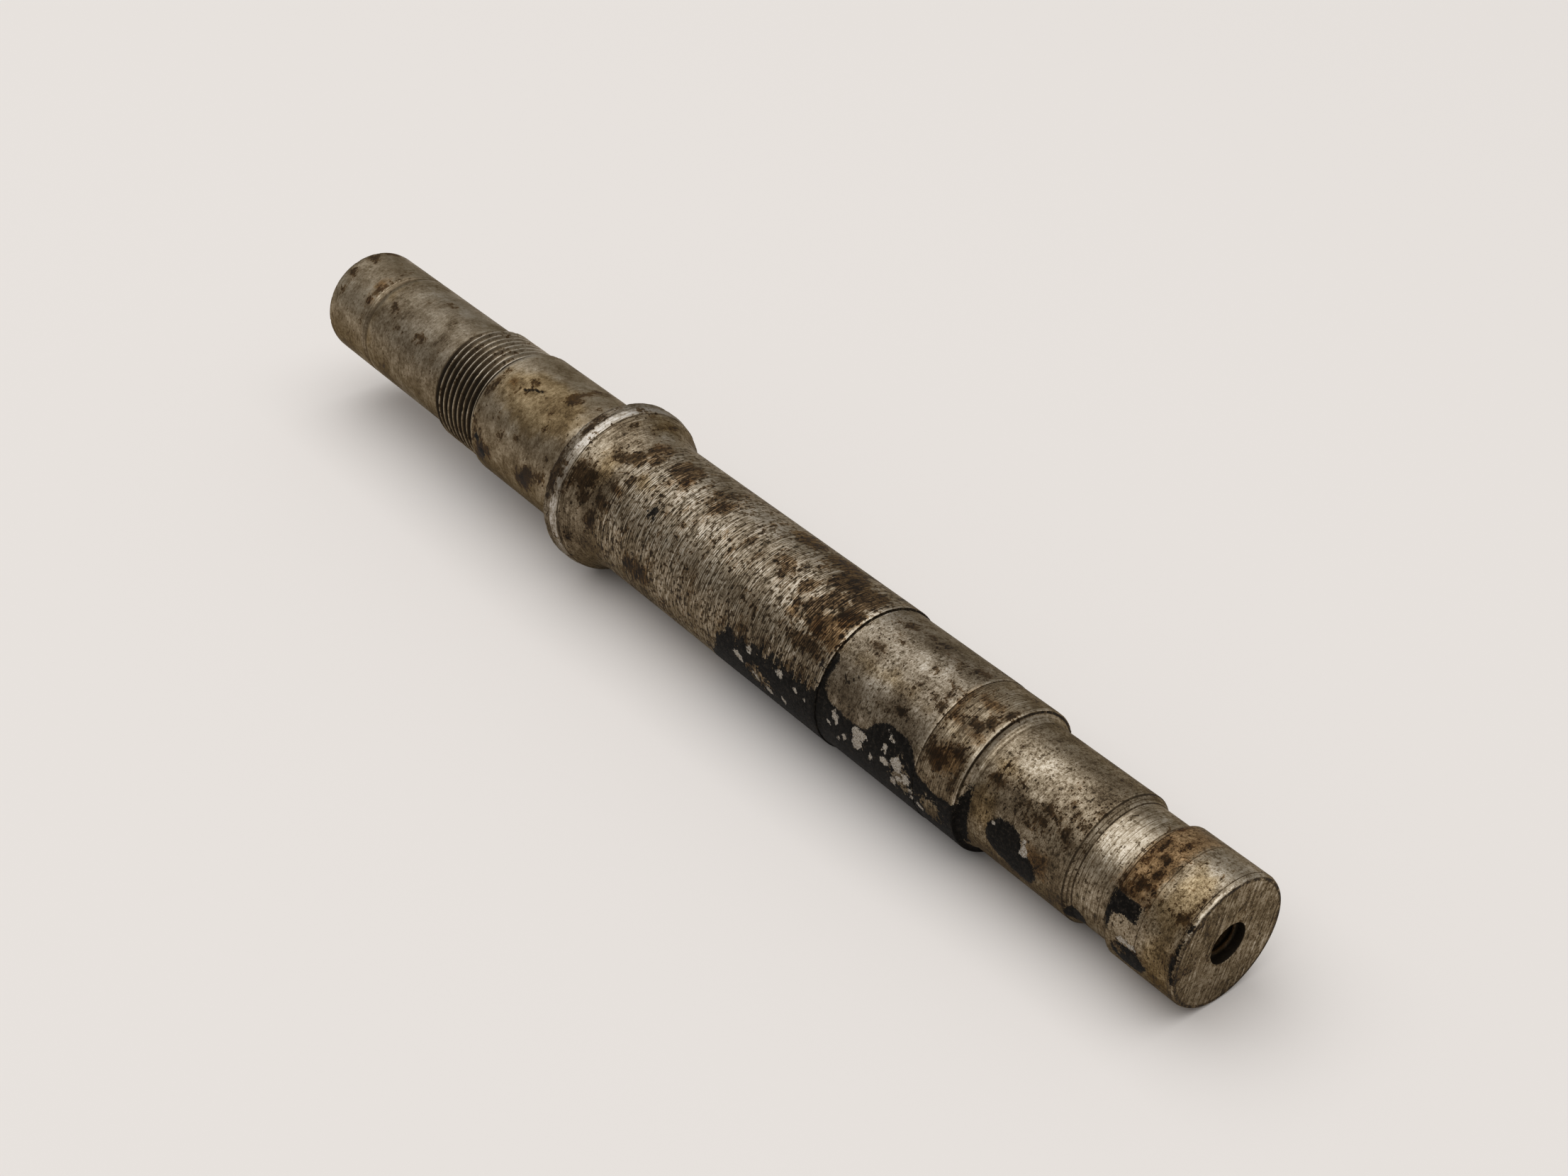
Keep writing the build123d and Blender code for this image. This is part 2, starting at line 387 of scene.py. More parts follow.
# Brown stains, first on the collar's rim, then along the shank, the near journal, the band and the near
# end, and last at the far end and on the far journal
STAINS = [
    (80.3, 14, 0.9, 1.8), (80.9, 25, 1, 1.5), (80.2, 54, 1.1, 2.4), (80.9, 66, 1.2, 2.2),
    (80.7, -3, 0.7, 1.2), (80.1, 38, 0.5, 0.8), (81.2, 75, 0.8, 1), (80.1, -20, 0.6, 2),
    (81.5, 12, 0.8, 0.6), (82.3, 52, 0.9, 0.6), (81.4, 57, 1.4, 1.2), (80.8, 64, 1.5, 1.4),
    (82, 70, 1, 0.8), (82.2, 26, 0.3, 0.4), (82.8, 10, 0.3, 0.3), (82.4, -12, 0.4, 0.8),
    (85.2, 50, 1.9, 2.8), (83.9, 60, 0.8, 2.2), (86.9, 66, 0.9, 0.9), (99, -2, 3.2, 2.8),
    (101.5, 10, 1.4, 1.2), (108.6, -8, 1.3, 3.4, 6), (107.4, -3, 1.3, 1.2), (110, 8, 1.2, 1.8),
    (91.5, -5, 2, 2.6), (93.2, 8, 1.6, 1.5), (90.8, 17, 2.1, 1.5), (88.6, 22, 1.2, 1.3), (93.4, 32, 1, 0.8),
    (91.3, 45, 1.5, 0.9), (90.5, 60, 2, 1.2), (89.2, 78, 1.2, 2.2), (102, 92, 3.5, 2.2),
    (127.4, 11, 1.9, 0.9), (128.2, 16, 1.5, 1.1), (128.9, 22, 1, 1.2), (130.3, 14, 1, 1.5),
    (134, 18, 1.4, 1.6), (137.5, -8, 3, 3.4), (142.5, -6, 3, 3.2), (139, 13, 2.4, 2), (137.8, 27, 1.8, 2.6),
    (140.6, 39, 1.3, 1.3), (143.5, 16, 2.2, 2.4), (134.8, 31, 1.4, 0.9), (139.3, 34, 1.2, 2),
    (124.5, -22, 3.5, 2.4), (133, -24, 4, 2.2), (120.1, 20, 0.5, 1.4), (140, 52, 5, 1.6),
    (151, 4, 0.6, 0.5), (150.6, 22, 1.6, 0.8), (151.8, 28, 1.2, 0.5), (160, 10, 0.5, 0.4),
    (164.8, 12, 1.2, 0.5), (164.8, 20, 1, 0.6), (163.6, 26, 1, 0.6), (165.6, 28, 0.6, 0.9),
    (159.6, -9, 1.8, 0.6), (150, -10, 1.5, 0.6), (155, -14, 2.4, 0.5), (152.6, 8, 1, 0.4),
    (164.4, -15, 1.6, 1.2), (162, -4, 1, 0.6), (160.5, 50, 1.6, 0.6), (158.4, 54, 1, 0.5),
    (171.4, 26, 1.7, 0.9), (169.2, 28, 1.6, 0.5), (173.2, 18, 1, 1.4), (174, 5, 0.8, 2.4),
    (172.5, 48, 1.6, 1.2), (169.5, 60, 2.2, 1.8), (173.8, 64, 0.7, 2.2), (167.6, 52, 0.4, 2.6),
    (191.9, 33, 0.9, 0.8), (193.2, 36, 1, 0.5), (193.8, 20, 0.4, 0.8), (191.6, 50, 1, 0.9),
    (193, 55, 0.9, 0.7), (187.6, 53, 2, 0.7), (188.6, 42, 1.6, 0.6), (190, 27, 0.5, 0.5),
    (188.2, 17, 0.3, 0.5), (184.6, 47, 1, 0.5), (187, 60, 1.4, 0.5), (179, 48, 1.8, 0.8),
    (201.5, 33, 0.35, 1.2), (202.1, 47, 0.7, 1.6), (206.6, 42, 0.9, 0.5), (208, 45, 0.9, 0.3),
    (202.4, -12, 0.8, 0.8), (212, 46, 1, 0.9), (213, 52, 0.4, 1.6), (207, 101, 2.4, 1.2),
    (208.6, 94, 0.8, 0.5), (213, 75, 0.5, 2), (203.4, 55, 2, 0.6), (203.4, 30, 0.4, 1.2),
    (204.8, 20, 0.5, 0.6, 20), (205.6, 34, 0.6, 0.8), (203.2, 8, 0.5, 1), (204.6, 46, 1.3, 0.9),
    (206, 52, 0.9, 0.6), (205.2, -2, 0.5, 0.8), (2.4, 32, 1.1, 1.3), (2.2, 3, 1.4, 0.8, 30),
    (1.6, -22, 1.3, 1.6), (11.3, 33, 1.1, 1.5), (10.9, 42, 0.7, 0.9), (11.6, 4, 0.4, 2.4, -20),
    (12.2, 17, 0.5, 1.4), (3, 52, 0.6, 0.6), (18.6, 34, 1, 0.8), (23.4, 5, 0.5, 0.8), (32.4, 8, 0.7, 1.1),
    (32.5, 20, 0.4, 0.9, 20), (22, 50, 0.8, 0.6), (27.2, -8, 1.4, 0.8), (29, 44, 1.6, 0.8),
    (54.4, 10, 0.5, 0.4), (54, 26, 0.5, 1.8), (53.7, 42, 0.6, 1.3), (60, 14, 0.8, 0.4),
    (58.8, 29, 0.3, 1, 10), (69.4, 4, 1.7, 1.7), (69.4, -3, 1.1, 2.2), (69.2, -11, 1, 2.2),
    (69, -21, 1.2, 2.4), (74.3, -1, 0.35, 0.35), (69, 28, 0.3, 0.6), (70, 40, 0.3, 0.7), (59, 55, 0.4, 0.5),
    (65, 62, 0.5, 0.4), (61, 70, 0.6, 0.4), (75, 62, 0.9, 0.4), (76.5, 67, 1, 0.5), (70, 86, 1.8, 2, 50),
    (68.5, 94, 2.4, 1.8), (74, 80, 1.4, 0.8), (57.5, 92, 1, 1.2), (54, 80, 0.9, 1.8, 15),
    (55.4, 94, 1.4, 2.6, 15), (53.6, 70, 0.6, 1),
]
RUST = [
    (142.3, 33, 3, 2.6), (143.8, 20, 2, 1.4), (135.4, 38, 1.5, 1.2), (144.8, 40, 1.2, 1.4),
    (167.2, 14, 0.7, 2.4), (168.2, 30, 1.3, 0.8), (170.4, 6, 2.4, 1), (172.6, 32, 1.6, 0.6),
    (171, 56, 2.8, 2.2), (99.4, 16, 0.7, 1.4), (101.6, 6, 1, 1), (10.8, 24, 1.2, 1.8), (11.4, 44, 1.1, 1),
    (57, 25, 0.8, 1), (90.3, -8, 0.7, 1.2), (77.8, 48, 0.4, 3), (111, 3, 1, 2), (92.8, 46, 1, 0.8),
]
RUST_BLOCKS = [(204.3, 10, 2.9, 7.6), (204, 52, 2.7, 1.3), (189.2, 84, 2.2, 1.9)]
# Yellowed skin, and paler rubbed metal
YELLOW = [
    (65, 26, 12, 6), (178.6, 34, 2.6, 1.4), (87.5, 36, 2.4, 4.5), (85, -24, 2, 5.5), (15.4, 38, 0.9, 9),
    (96, 30, 2, 1.6), (155, 36, 8, 1.6), (178.6, 75, 2.4, 5), (169.5, 38, 2.6, 0.9), (210.4, 40, 3.2, 8),
    (210.4, 90, 3.2, 8),
]
PALE = [
    (15.2, 30, 0.5, 9), (154, 12, 5.5, 2.4), (162, 8, 2.6, 2), (85, 21, 1.3, 3), (184, 16, 4.5, 1.6),
    (198.6, 24, 2.8, 5.2), (111.5, 22, 1.4, 2.6), (210, 12, 2.4, 3), (203.6, 28, 0.45, 6),
    (169.5, 38, 2.6, 0.6), (169.6, 12, 1.6, 0.8), (95.2, 84, 0.3, 1.2), (95.3, 85, 1.1, 0.25, 30),
    (114, 24, 1.5, 1.5), (103.5, 12, 1, 2.2), (156.6, 20, 0.6, 1.5), (206.2, 12, 0.3, 1.4),
    (204, -4, 0.5, 1), (129.5, 8, 0.8, 0.6), (54.2, 98, 1.4, 0.8, 50), (57.3, 93, 0.5, 0.7),
    (12.5, 33, 0.35, 0.7),
]
# A gouge across the far journal and a forked scratch in the near one, from one (station, angle) to the next
GOUGE = [(63.6, 17.0), (62.9, 18.5), (61.8, 20.0), (60.9, 23.5), (60.1, 25.5)]
GOUGE_WIDTH, GOUGE_DEPTH = 0.36, 0.2
MARKED_R = 11.4  # about the radius of both journals
SCRATCH = [(149.2, 51.5), (150.2, 57.5), (151.6, 47.5)]
SCRATCH_WIDTH = 0.3
# Fine dark rings left by the turning tool and by grime in corners: (station, half width, strength)
RINGS = [
    (14.25, 0.1, 0.5), (13, 0.08, 0.3), (39.25, 0.12, 0.8), (52.55, 0.1, 0.8), (79.68, 0.12, 1),
    (83.26, 0.06, 0.7), (146.05, 0.12, 1), (166.86, 0.08, 0.6), (174.85, 0.045, 0.9), (175.55, 0.03, 0.3),
    (176.2, 0.05, 0.35), (194.42, 0.1, 0.7), (194.97, 0.05, 0.45), (195.47, 0.08, 0.7),
    (196.65, 0.05, 0.35), (197.65, 0.05, 0.3), (198.7, 0.05, 0.25), (200, 0.06, 0.35), (201.3, 0.08, 0.55),
    (202.3, 0.06, 0.5), (207.25, 0.07, 0.4), (213.08, 0.06, 0.7), (170.05, 0.05, 0.35), (167.5, 0.05, 0.4),
]

# What changes along the shaft: (station, value). FLECKS is how near a bare place is to a stain, FAIR how
# much cleaner the steel is, SPECKLE how pitted, TURNED how deep the tool's lines are, and GREY how cold.
FLECKS = [
    (0, -0.85), (38, -0.8), (40, -0.6), (52, -0.6), (54, -0.9), (79, -0.8), (80, -0.45), (84, -0.6),
    (92, -0.4), (146, -0.4), (147, -0.95), (166, -0.95), (167, -0.55), (174, -0.55), (177, -0.78),
    (194, -0.78), (196, -0.9), (213, -0.9),
]
FAIR = [
    (0, 0.065), (12, 0.06), (16, 0.03), (38, 0.03), (54, 0.04), (78, 0.04), (80, 0), (84, -0.02),
    (92, 0.045), (118, 0.045), (124, 0.02), (144, 0.02), (148, -0.02), (174, -0.02), (176, 0), (194, 0),
    (196, 0.055), (201, 0.055), (203, 0.065), (212.6, 0.06), (213.4, 0.025),
]
SPECKLE = [
    (0, 0.32), (40, 0.36), (79, 0.36), (80, 0.95), (83, 0.6), (84, 0.6), (92, 1), (146, 1), (147, 0.8),
    (166, 0.95), (167, 0.9), (176, 0.7), (178, 1), (213, 0.9),
]
TURNED = [
    (0, 0.1), (38, 0.1), (79, 0.05), (83.5, 0.7), (84.5, 0.25), (90, 0.35), (92, 1), (145, 1), (147, 0.1),
    (166, 0.1), (168, 0.45), (175, 0.4), (178, 0.12), (193, 0.12), (196, 0.4), (202, 0.35), (204, 0.12),
    (213, 0.12),
]
GREY = [
    (0, 0), (20, 0.15), (24, 0.4), (36, 0.35), (44, 0.1), (52, 0.1), (54, 0), (79, 0), (80, 1), (83, 1),
    (83.4, 0.1), (93, 0.2), (110, 0.3), (146, 0.25), (147, 0.6), (166, 0.6), (167, 0.05), (175, 0.05),
    (182, 0.1), (192, 0.05), (196, 0.1), (202, 0.1), (203, 0), (213, 0.1),
]
# What changes round it: (angle in degrees, value), for the steel's cleanness, which is painted light,
# lighter over the top and darker low down as the light falls; and for the rubbed rim of the near face,
# the rubbed bevel of the collar and the rubbed crests of the thread, each partly real wear and partly
# painted highlight, strongest where the light catches it
LIGHT_PAINTED_ROUND = [
    (-180, 0.02), (-60, 0.03), (-40, 0.05), (-28, 0.09), (-18, 0.095), (-5, 0.068), (5, 0.045), (35, 0.045),
    (48, 0.01), (60, -0.01), (90, -0.005), (110, -0.02), (180, 0),
]
RIM_WEAR_AND_HIGHLIGHT = [
    (-180, 0.3), (-60, 0.3), (-25, 0.4), (0, 0.6), (12, 1.1), (55, 1.1), (66, 0.3), (90, 0.3), (100, 0.9),
    (120, 0.5), (180, 0.3),
]
BEVEL_WEAR_AND_HIGHLIGHT = [
    (-180, 0.5), (-60, 0.45), (-20, 0.5), (0, 1), (12, 1.1), (20, 0.72), (38, 0.72), (44, 0.15), (60, 0.45),
    (78, 1.2), (92, 1.2), (110, 0.6), (180, 0.5),
]
CREST_WEAR_AND_HIGHLIGHT = [(-60, 0.7), (-30, 1.0), (30, 1.0), (50, 0.55), (120, 0.35), (180, 0.5)]

# Grime in corners and rubbed edges: (station, half width, strength)
CORNERS = [(GROOVE_START + 0.8, 0.75, 0.3), (THREAD_START, 0.25, 0.9)]
RUBBED = [
    (GROOVE_END + 0.4, 0.45, 1.0), (THREAD_END + 0.25, 0.35, 0.55), (COLLAR_START + 0.2, 0.4, 0.4),
    (SHANK_END - 0.12, 0.28, 0.8), (NEAR_JOURNAL_END - 0.15, 0.3, 0.8), (BAND_END - 0.12, 0.25, 0.9),
    (NECK_END + 0.2, 0.25, 0.3),
]
# Nicked rims: (station, half width, depth)
NICKS = [
    (0.5, 0.5, 0.15), (GROOVE_END + 0.2, 0.3, 0.08), (THREAD_END + 0.15, 0.35, 0.12),
    (COLLAR_START + 0.1, 0.5, 0.18), (BEVEL_END - 0.1, 0.4, 0.12), (SHANK_END - 0.1, 0.35, 0.12),
    (NEAR_JOURNAL_END - 0.1, 0.3, 0.04), (BAND_END - 0.15, 0.4, 0.16), (NECK_END + 0.1, 0.3, 0.08),
    (NEAR_RIM + 0.3, 0.5, 0.14),
]
FAR_OUTSIDE = -4.0  # a field's value well away from its marks
MARK_REACH = 6.0  # how far outside a mark its depth still counts
WALL_R = 8.9  # less than any radius of the outer wall


class Places:
    """Where every point of the skin lies, which points are on the outer wall and on the outside thread,
    and noise of three sizes."""

    def __init__(self, points):
        self.s, self.r, turn = np.array(points).T
        self.angle = (turn + math.pi) % (2 * math.pi) - math.pi
        self.degrees = np.degrees(self.angle)
        self.wall = (self.r > WALL_R) & (self.s > 0.3) & (self.s < NEAR_END - 0.05)
        self.thread = (self.s > THREAD_START + 0.005) & (self.s < THREAD_END - 0.005)
        self.coarse = self.wander(3.2, 1)
        self.medium = self.wander(1.4, 2)
        self.fine = self.wander(0.62, 3)

    def wander(self, length, seed):
        """Noise on the surface with features of about this length."""
        shift = Vector((seed * 7.3, seed * 3.1, seed))
        return np.array([noise.noise(around(s, a, length) + shift) for s, a in zip(self.s, self.angle)])

    def along(self, table):
        return np.interp(self.s, *zip(*table))

    def round(self, table):
        return np.interp(self.degrees, *zip(*table))

    def ridge(self, station, width):
        """1 at a station, falling to 0 at a distance of width."""
        return np.clip(1 - np.abs(self.s - station) / width, 0, 1)

    def between(self, start, end, soft):
        """1 from start to end, with soft ends."""
        return np.clip((self.s - start) / soft, 0, 1) * np.clip((end - self.s) / soft, 0, 1)

    def inside(self, marks, ragged, square=False):
        """How deep inside the nearest mark each point lies, in millimetres; outside it is negative. A
        square mark has straight sides."""
        depth = np.full(len(self.s), FAR_OUTSIDE)
        for station, degrees, half_length, half_width, *lean in marks:
            x = self.s - station
            y = ((self.angle - math.radians(degrees) + math.pi) % (2 * math.pi) - math.pi) * self.r
            near = np.hypot(x, y) < half_length + half_width + MARK_REACH
            lean = math.radians(sum(lean))
            u = (x[near] * math.cos(lean) + y[near] * math.sin(lean)) / half_length
            v = (y[near] * math.cos(lean) - x[near] * math.sin(lean)) / half_width
            reach = np.maximum(np.abs(u), np.abs(v)) if square else np.hypot(u, v)
            depth[near] = np.maximum(depth[near], (1 - reach) * min(half_length, half_width))
        return depth + ragged

    def distance(self, chain):
        """Distance from a chain of (station, angle) points on the surface, in millimetres."""
        nearest = np.full(len(self.s), np.inf)
        for (s0, a0), (s1, a1) in zip(chain, chain[1:]):
            x, y = self.s - s0, (self.angle - math.radians(a0)) * self.r
            dx, dy = s1 - s0, math.radians(a1 - a0) * MARKED_R
            t = np.clip((x * dx + y * dy) / (dx * dx + dy * dy), 0, 1)
            nearest = np.minimum(nearest, np.hypot(x - t * dx, y - t * dy))
        return nearest


def tar_depth(at):
    """The tar that ran round under the shaft, below its ragged upper edge, and the splashes of it."""
    upper = np.interp(at.s, *zip(*TAR_EDGE), NO_TAR, NO_TAR)
    side = np.where(at.degrees < -90, at.degrees + 360, at.degrees)
    tar = np.radians(np.minimum(side - upper, TAR_LOWER_EDGE - side)) * at.r
    tar = np.minimum(tar + 0.9 * at.medium * (at.s < SHANK_END) + 0.35 * at.fine, 3.0)
    tar = np.maximum(tar, at.inside(TAR, 0.2 * at.fine + 0.2 * at.medium))
    return np.maximum(tar, at.inside(TAR_BLOCKS, 0.15 * at.fine, square=True))


def stain_depth(at, tar):
    """Brown stains, small flecks where no mark lies, and a brown margin above the shank's tar."""
    near_tar = at.between(TAR_START, SHANK_END, 4.0)
    margin = np.minimum(tar + 2.2 + 1.0 * at.coarse, 0.5) * near_tar - 0.4
    stains = at.inside(STAINS, 0.3 * at.medium + 0.25 * at.fine)
    return np.maximum.reduce([stains, at.along(FLECKS), np.where(near_tar > 0, margin, FAR_OUTSIDE)])


def rust_depth(at, bore, glints):
    """Rust in marks and blocks, and a rusty tint on the painted glints of the inside thread."""
    blocks = at.inside(RUST_BLOCKS, 0.15 * at.medium, square=True)
    rust = np.maximum(at.inside(RUST, 0.5 * at.medium), blocks)
    return np.where(bore, 2.4 * glints - 1.2, rust)


def grime_and_painted_shade(at, bore, glints):
    """Grime in corners; darkening in the thread's roots, a little all round and most on the lower side
    facing the camera, where it is painted shade; and painted shade in the tapped centre, lighter at its
    painted glints.
    """
    grime_and_shade = np.maximum.reduce([strength * at.ridge(s, width) for s, width, strength in CORNERS])
    # Painted shade in the thread's roots: a little all round, and most on the lower side facing the camera
    root = np.clip((THREAD_R - 0.12 - at.r) / 0.3, 0, 1)
    side = np.clip((at.degrees - 10) / 35, 0, 1) * np.clip((150 - at.degrees) / 30, 0, 1)
    grime_and_shade = np.where(at.thread, root * (0.15 + 0.85 * side), grime_and_shade)
    # The tapped centre is painted dark as shade, lighter where its painted glints lie
    return np.where(bore, 1.0 - 0.65 * glints, grime_and_shade)


def rubbing(at):
    """Rubbed edges, and the rubbed rim of the near face, bevel of the collar and crests of the thread,
    these three by angle partly real wear and partly painted highlight.
    """
    edges = np.maximum.reduce([strength * at.ridge(s, width) for s, width, strength in RUBBED])
    rim = at.between(NEAR_RIM + 0.28 + 0.3 * at.medium, NEAR_END - 0.1, 0.12) * (at.r > 9.2)
    bevel = at.between(BEVEL_START - 0.3 + 0.5 * at.medium, BEVEL_END, 0.3)
    # By angle, the rim's and bevel's rubbing is partly painted highlight, brightest where the light catches
    # them
    rub = np.maximum.reduce([edges, at.round(RIM_WEAR_AND_HIGHLIGHT) * rim, at.round(BEVEL_WEAR_AND_HIGHLIGHT) * bevel])
    # The crests' rubbing is partly painted highlight, brightest over the top and dimmer low down
    crest = np.clip((at.r - THREAD_R + 0.2) / 0.1, -2, 1) * at.round(CREST_WEAR_AND_HIGHLIGHT)
    return np.where(at.thread, crest, rub)


def relief(at, fields):
    """How far the worn skin stands above the turned form: the gouge, pits in the collar's rim, nicked rims,
    a slow waviness, tar that stands a little proud, and tar that fills the corner behind the shank."""
    tar = fields["tar"]
    change = -GOUGE_DEPTH * fields["gouge"]
    change -= 0.14 * at.between(COLLAR_START, BEVEL_END, 0.2) * np.clip(at.medium * 2 - 0.35, 0, 1)
    nicked = np.clip((at.medium + at.fine) * 1.6 - 0.4, 0, 1)
    for station, width, depth in NICKS:
        change -= at.ridge(station, width) * depth * nicked
    change += 0.012 * at.coarse
    change += 0.05 * np.clip(tar / 0.5, 0, 1) * (1 - np.clip((fields["flake"] + 0.1) / 0.3, 0, 1))
    change += 0.5 * at.ridge(SHANK_END + 0.3, 0.7) * np.clip(tar, 0, 0.3) * (at.r < SHANK_R - 0.2)
    return np.where(at.wall, change, 0)


def finish_fields(at):
    """What the finish reads, one value a point."""
    bore = (at.r < MOUTH_R - 0.03) & (at.s > TAP_END - DRILL_TIP - 1)
    # Painted glints on the inside thread's crests, from a little way in, where light would catch them
    lit_start, lit_end = 206, 210
    lit = np.clip((at.s - lit_start) / (lit_end - lit_start), 0, 1)
    glints = np.clip((TAP_R + 0.2 - at.r) / 0.15, 0, 1) * lit
    tar = tar_depth(at)
    # Painted light: the band's hollow root is made cleaner so it reads as bright as the land instead of
    # lying in shade
    root = 0.07 * at.between(BAND_END + 0.1, ROOT_END, 0.1)
    gouge_width = GOUGE_WIDTH * (1 + 0.5 * at.fine)
    return {
        "tar": np.where(at.wall, tar, FAR_OUTSIDE),
        "flake": at.inside(FLAKES, 0.25 * at.fine),
        "scrape": at.inside(SCRAPES, 1.2 * at.coarse),
        "stain": stain_depth(at, tar),
        "rust": rust_depth(at, bore, glints),
        "yellow": at.inside(YELLOW, 1.0 * at.coarse),
        "pale": at.inside(PALE, 0.3 * at.medium),
        # grime in corners, and painted shade in the thread's roots and the tapped centre
        "grime_and_shade": grime_and_painted_shade(at, bore, glints),
        "rub": rubbing(at),
        # Cleanness along the shaft, plus painted light: the band's hollow root lightened against its shade,
        # and the wall lighter over the top and darker low down
        "fair_and_painted_light": at.along(FAIR) + root + at.round(LIGHT_PAINTED_ROUND) * at.wall,
        "speckle": at.along(SPECKLE),
        "turned": at.along(TURNED),
        "grey": at.along(GREY),
        "gouge": np.clip(1 - at.distance(GOUGE) / gouge_width, 0, 1),
        "scratch": np.clip(1 - at.distance(SCRATCH) / SCRATCH_WIDTH, 0, 1),
    }


def map_grain(mesh, angle, s):
    """A UV map that runs round the shaft, for the direction of the turned grain, and outward normals."""
    work = bmesh.new()
    work.from_mesh(mesh)
    bmesh.ops.recalc_face_normals(work, faces=work.faces)
    grain_map = work.loops.layers.uv.new("grain")
    for face in work.faces:
        turns = [angle[corner.vert.index] / (2 * math.pi) for corner in face.loops]
        for corner, turn in zip(face.loops, turns):
            across_seam = turn < max(turns) - 0.5
            corner[grain_map].uv = (turn + across_seam, s[corner.vert.index] / 100)
    work.to_mesh(mesh)
    work.free()


def shaft_mesh(name, placing):
    """The closed mesh in the row frame, in metres, with the finish's fields as float attributes, and
    "place", the shaft's own coordinates in millimetres."""
    skin = shaft_skin()
    at = Places(skin.points)
    fields = finish_fields(at)
    r = at.r + relief(at, fields)
    own = np.stack([at.s, -r * np.sin(at.angle), r * np.cos(at.angle)], 1)
    points = own * MM @ np.array(placing.to_3x3()).T + np.array(placing.translation)
    mesh = bpy.data.meshes.new(name)
    mesh.from_pydata(points.tolist(), [], skin.faces)
    for field, values in fields.items():
        mesh.attributes.new(field, "FLOAT", "POINT").data.foreach_set("value", values.astype(np.float32))
    place = mesh.attributes.new("place", "FLOAT_VECTOR", "POINT")
    place.data.foreach_set("vector", own.astype(np.float32).ravel())
    map_grain(mesh, at.angle, at.s)
    mesh.polygons.foreach_set("use_smooth", [True] * len(mesh.polygons))
    mesh.set_sharp_from_angle(angle=math.radians(40))
    return mesh


# ------ the finish

class Graph:
    """Short calls for the nodes of a new material."""

    def __init__(self, name):
        self.material = bpy.data.materials.new(name)
        self.material.use_nodes = True
        self.tree = self.material.node_tree
        self.tree.nodes.clear()

    def surfaced(self, shader):
        """The finished material, with this shader on its surface."""
        self.node("OutputMaterial", {"Surface": shader.outputs["BSDF"]})
        return self.material

    def node(self, kind, inputs=None, **settings):
        """A new node with these settings, whose inputs take other nodes' outputs, numbers or colours."""
        made = self.tree.nodes.new("ShaderNode" + kind)
        for name, value in settings.items():
            setattr(made, name, value)
        for name, value in (inputs or {}).items():
            if isinstance(value, bpy.types.NodeSocket):
                self.tree.links.new(value, made.inputs[name])
            else:
                made.inputs[name].default_value = value
        return made

    def math(self, operation, a, b=0.0):
        return self.node("Math", {0: a, 1: b}, operation=operation).outputs[0]

    def joined(self, operation, values):
        result = values[0]
        for value in values[1:]:
            result = self.math(operation, result, value)
        return result

    def plus(self, *values):
        return self.joined("ADD", values)

    def times(self, *values):
        return self.joined("MULTIPLY", values)

    def largest(self, *values):
        return self.joined("MAXIMUM", values)

    def rest(self, share):
        """What a share leaves of 1."""
        return self.math("SUBTRACT", 1.0, share)

    def field(self, name):
        return self.node("Attribute", attribute_name=name).outputs["Fac"]

    def stretched(self, vector, x, y, z):
        return self.node("VectorMath", {0: vector, 1: (x, y, z)}, operation="MULTIPLY").outputs[0]

    def noise(self, vector, scale, detail, rough):
        inputs = {"Vector": vector, "Scale": scale, "Detail": detail, "Roughness": rough}
        return self.node("TexNoise", inputs).outputs["Fac"]

    def span(self, value, low, high, bottom=0.0, top=1.0):
        """value taken smoothly from low..high to bottom..top."""
        inputs = {"Value": value, "From Min": low, "From Max": high, "To Min": bottom, "To Max": top}
        return self.node("MapRange", inputs, interpolation_type="SMOOTHSTEP").outputs["Result"]

    def mix(self, share, a, b, blend="MIX"):
        """Colour a taken to b, or to a times b with blend MULTIPLY, as far as share goes."""
        return self.node("Mix", {0: share, 6: a, 7: b}, data_type="RGBA", blend_type=blend).outputs[2]

    def tint(self, share, a, b):
        return self.mix(share, a, b, "MULTIPLY")

    def blend(self, share, a, b):
        """A number taken from a to b."""
        return self.node("Mix", {0: share, 2: a, 3: b}, data_type="FLOAT").outputs[0]

    def ramp(self, value, tones):
        """The colour at value among tones of (place, colour)."""
        made = self.node("ValToRGB", {"Fac": value})
        stops = made.color_ramp.elements
        stops.remove(stops[1])
        for i, (place, tone) in enumerate(tones):
            stop = stops[0] if i == 0 else stops.new(place)
            stop.position = place
            stop.color = tone
        return made.outputs["Color"]


def colour(red, green, blue):
    return (red, green, blue, 1.0)


# Steel by how clean it is, from pitted black to rubbed bright
STEEL_TONES = [
    (0.22, colour(0.012, 0.009, 0.006)), (0.36, colour(0.04, 0.028, 0.016)),
    (0.46, colour(0.096, 0.0695, 0.042)), (0.55, colour(0.178, 0.137, 0.088)),
    (0.66, colour(0.32, 0.263, 0.186)), (0.84, colour(0.6, 0.532, 0.43)),
]
GREYING = colour(0.8, 0.86, 1.0)
YELLOWING = colour(1.0, 0.92, 0.75)
RUSTING = colour(1.0, 0.76, 0.5)
BROWNING = colour(1.0, 0.86, 0.72)
EDGE_TINT = colour(0.42, 0.38, 0.32)
TAR_BLACK = colour(0.004, 0.0035, 0.003)
TAR_DUSTY = colour(0.013, 0.011, 0.009)
TAR_WORN = colour(0.055, 0.041, 0.029)
CHALK = colour(0.4, 0.365, 0.315)
CHALK_BROWN = colour(0.17, 0.135, 0.095)
TURNING_PITCH = 0.36
BRUSHING_LEAN = 15.0
CLEAN = 0.54  # how clean plain steel is
GRIME_AND_SHADE_CLEANNESS = 0.22  # how clean grime and painted shade are
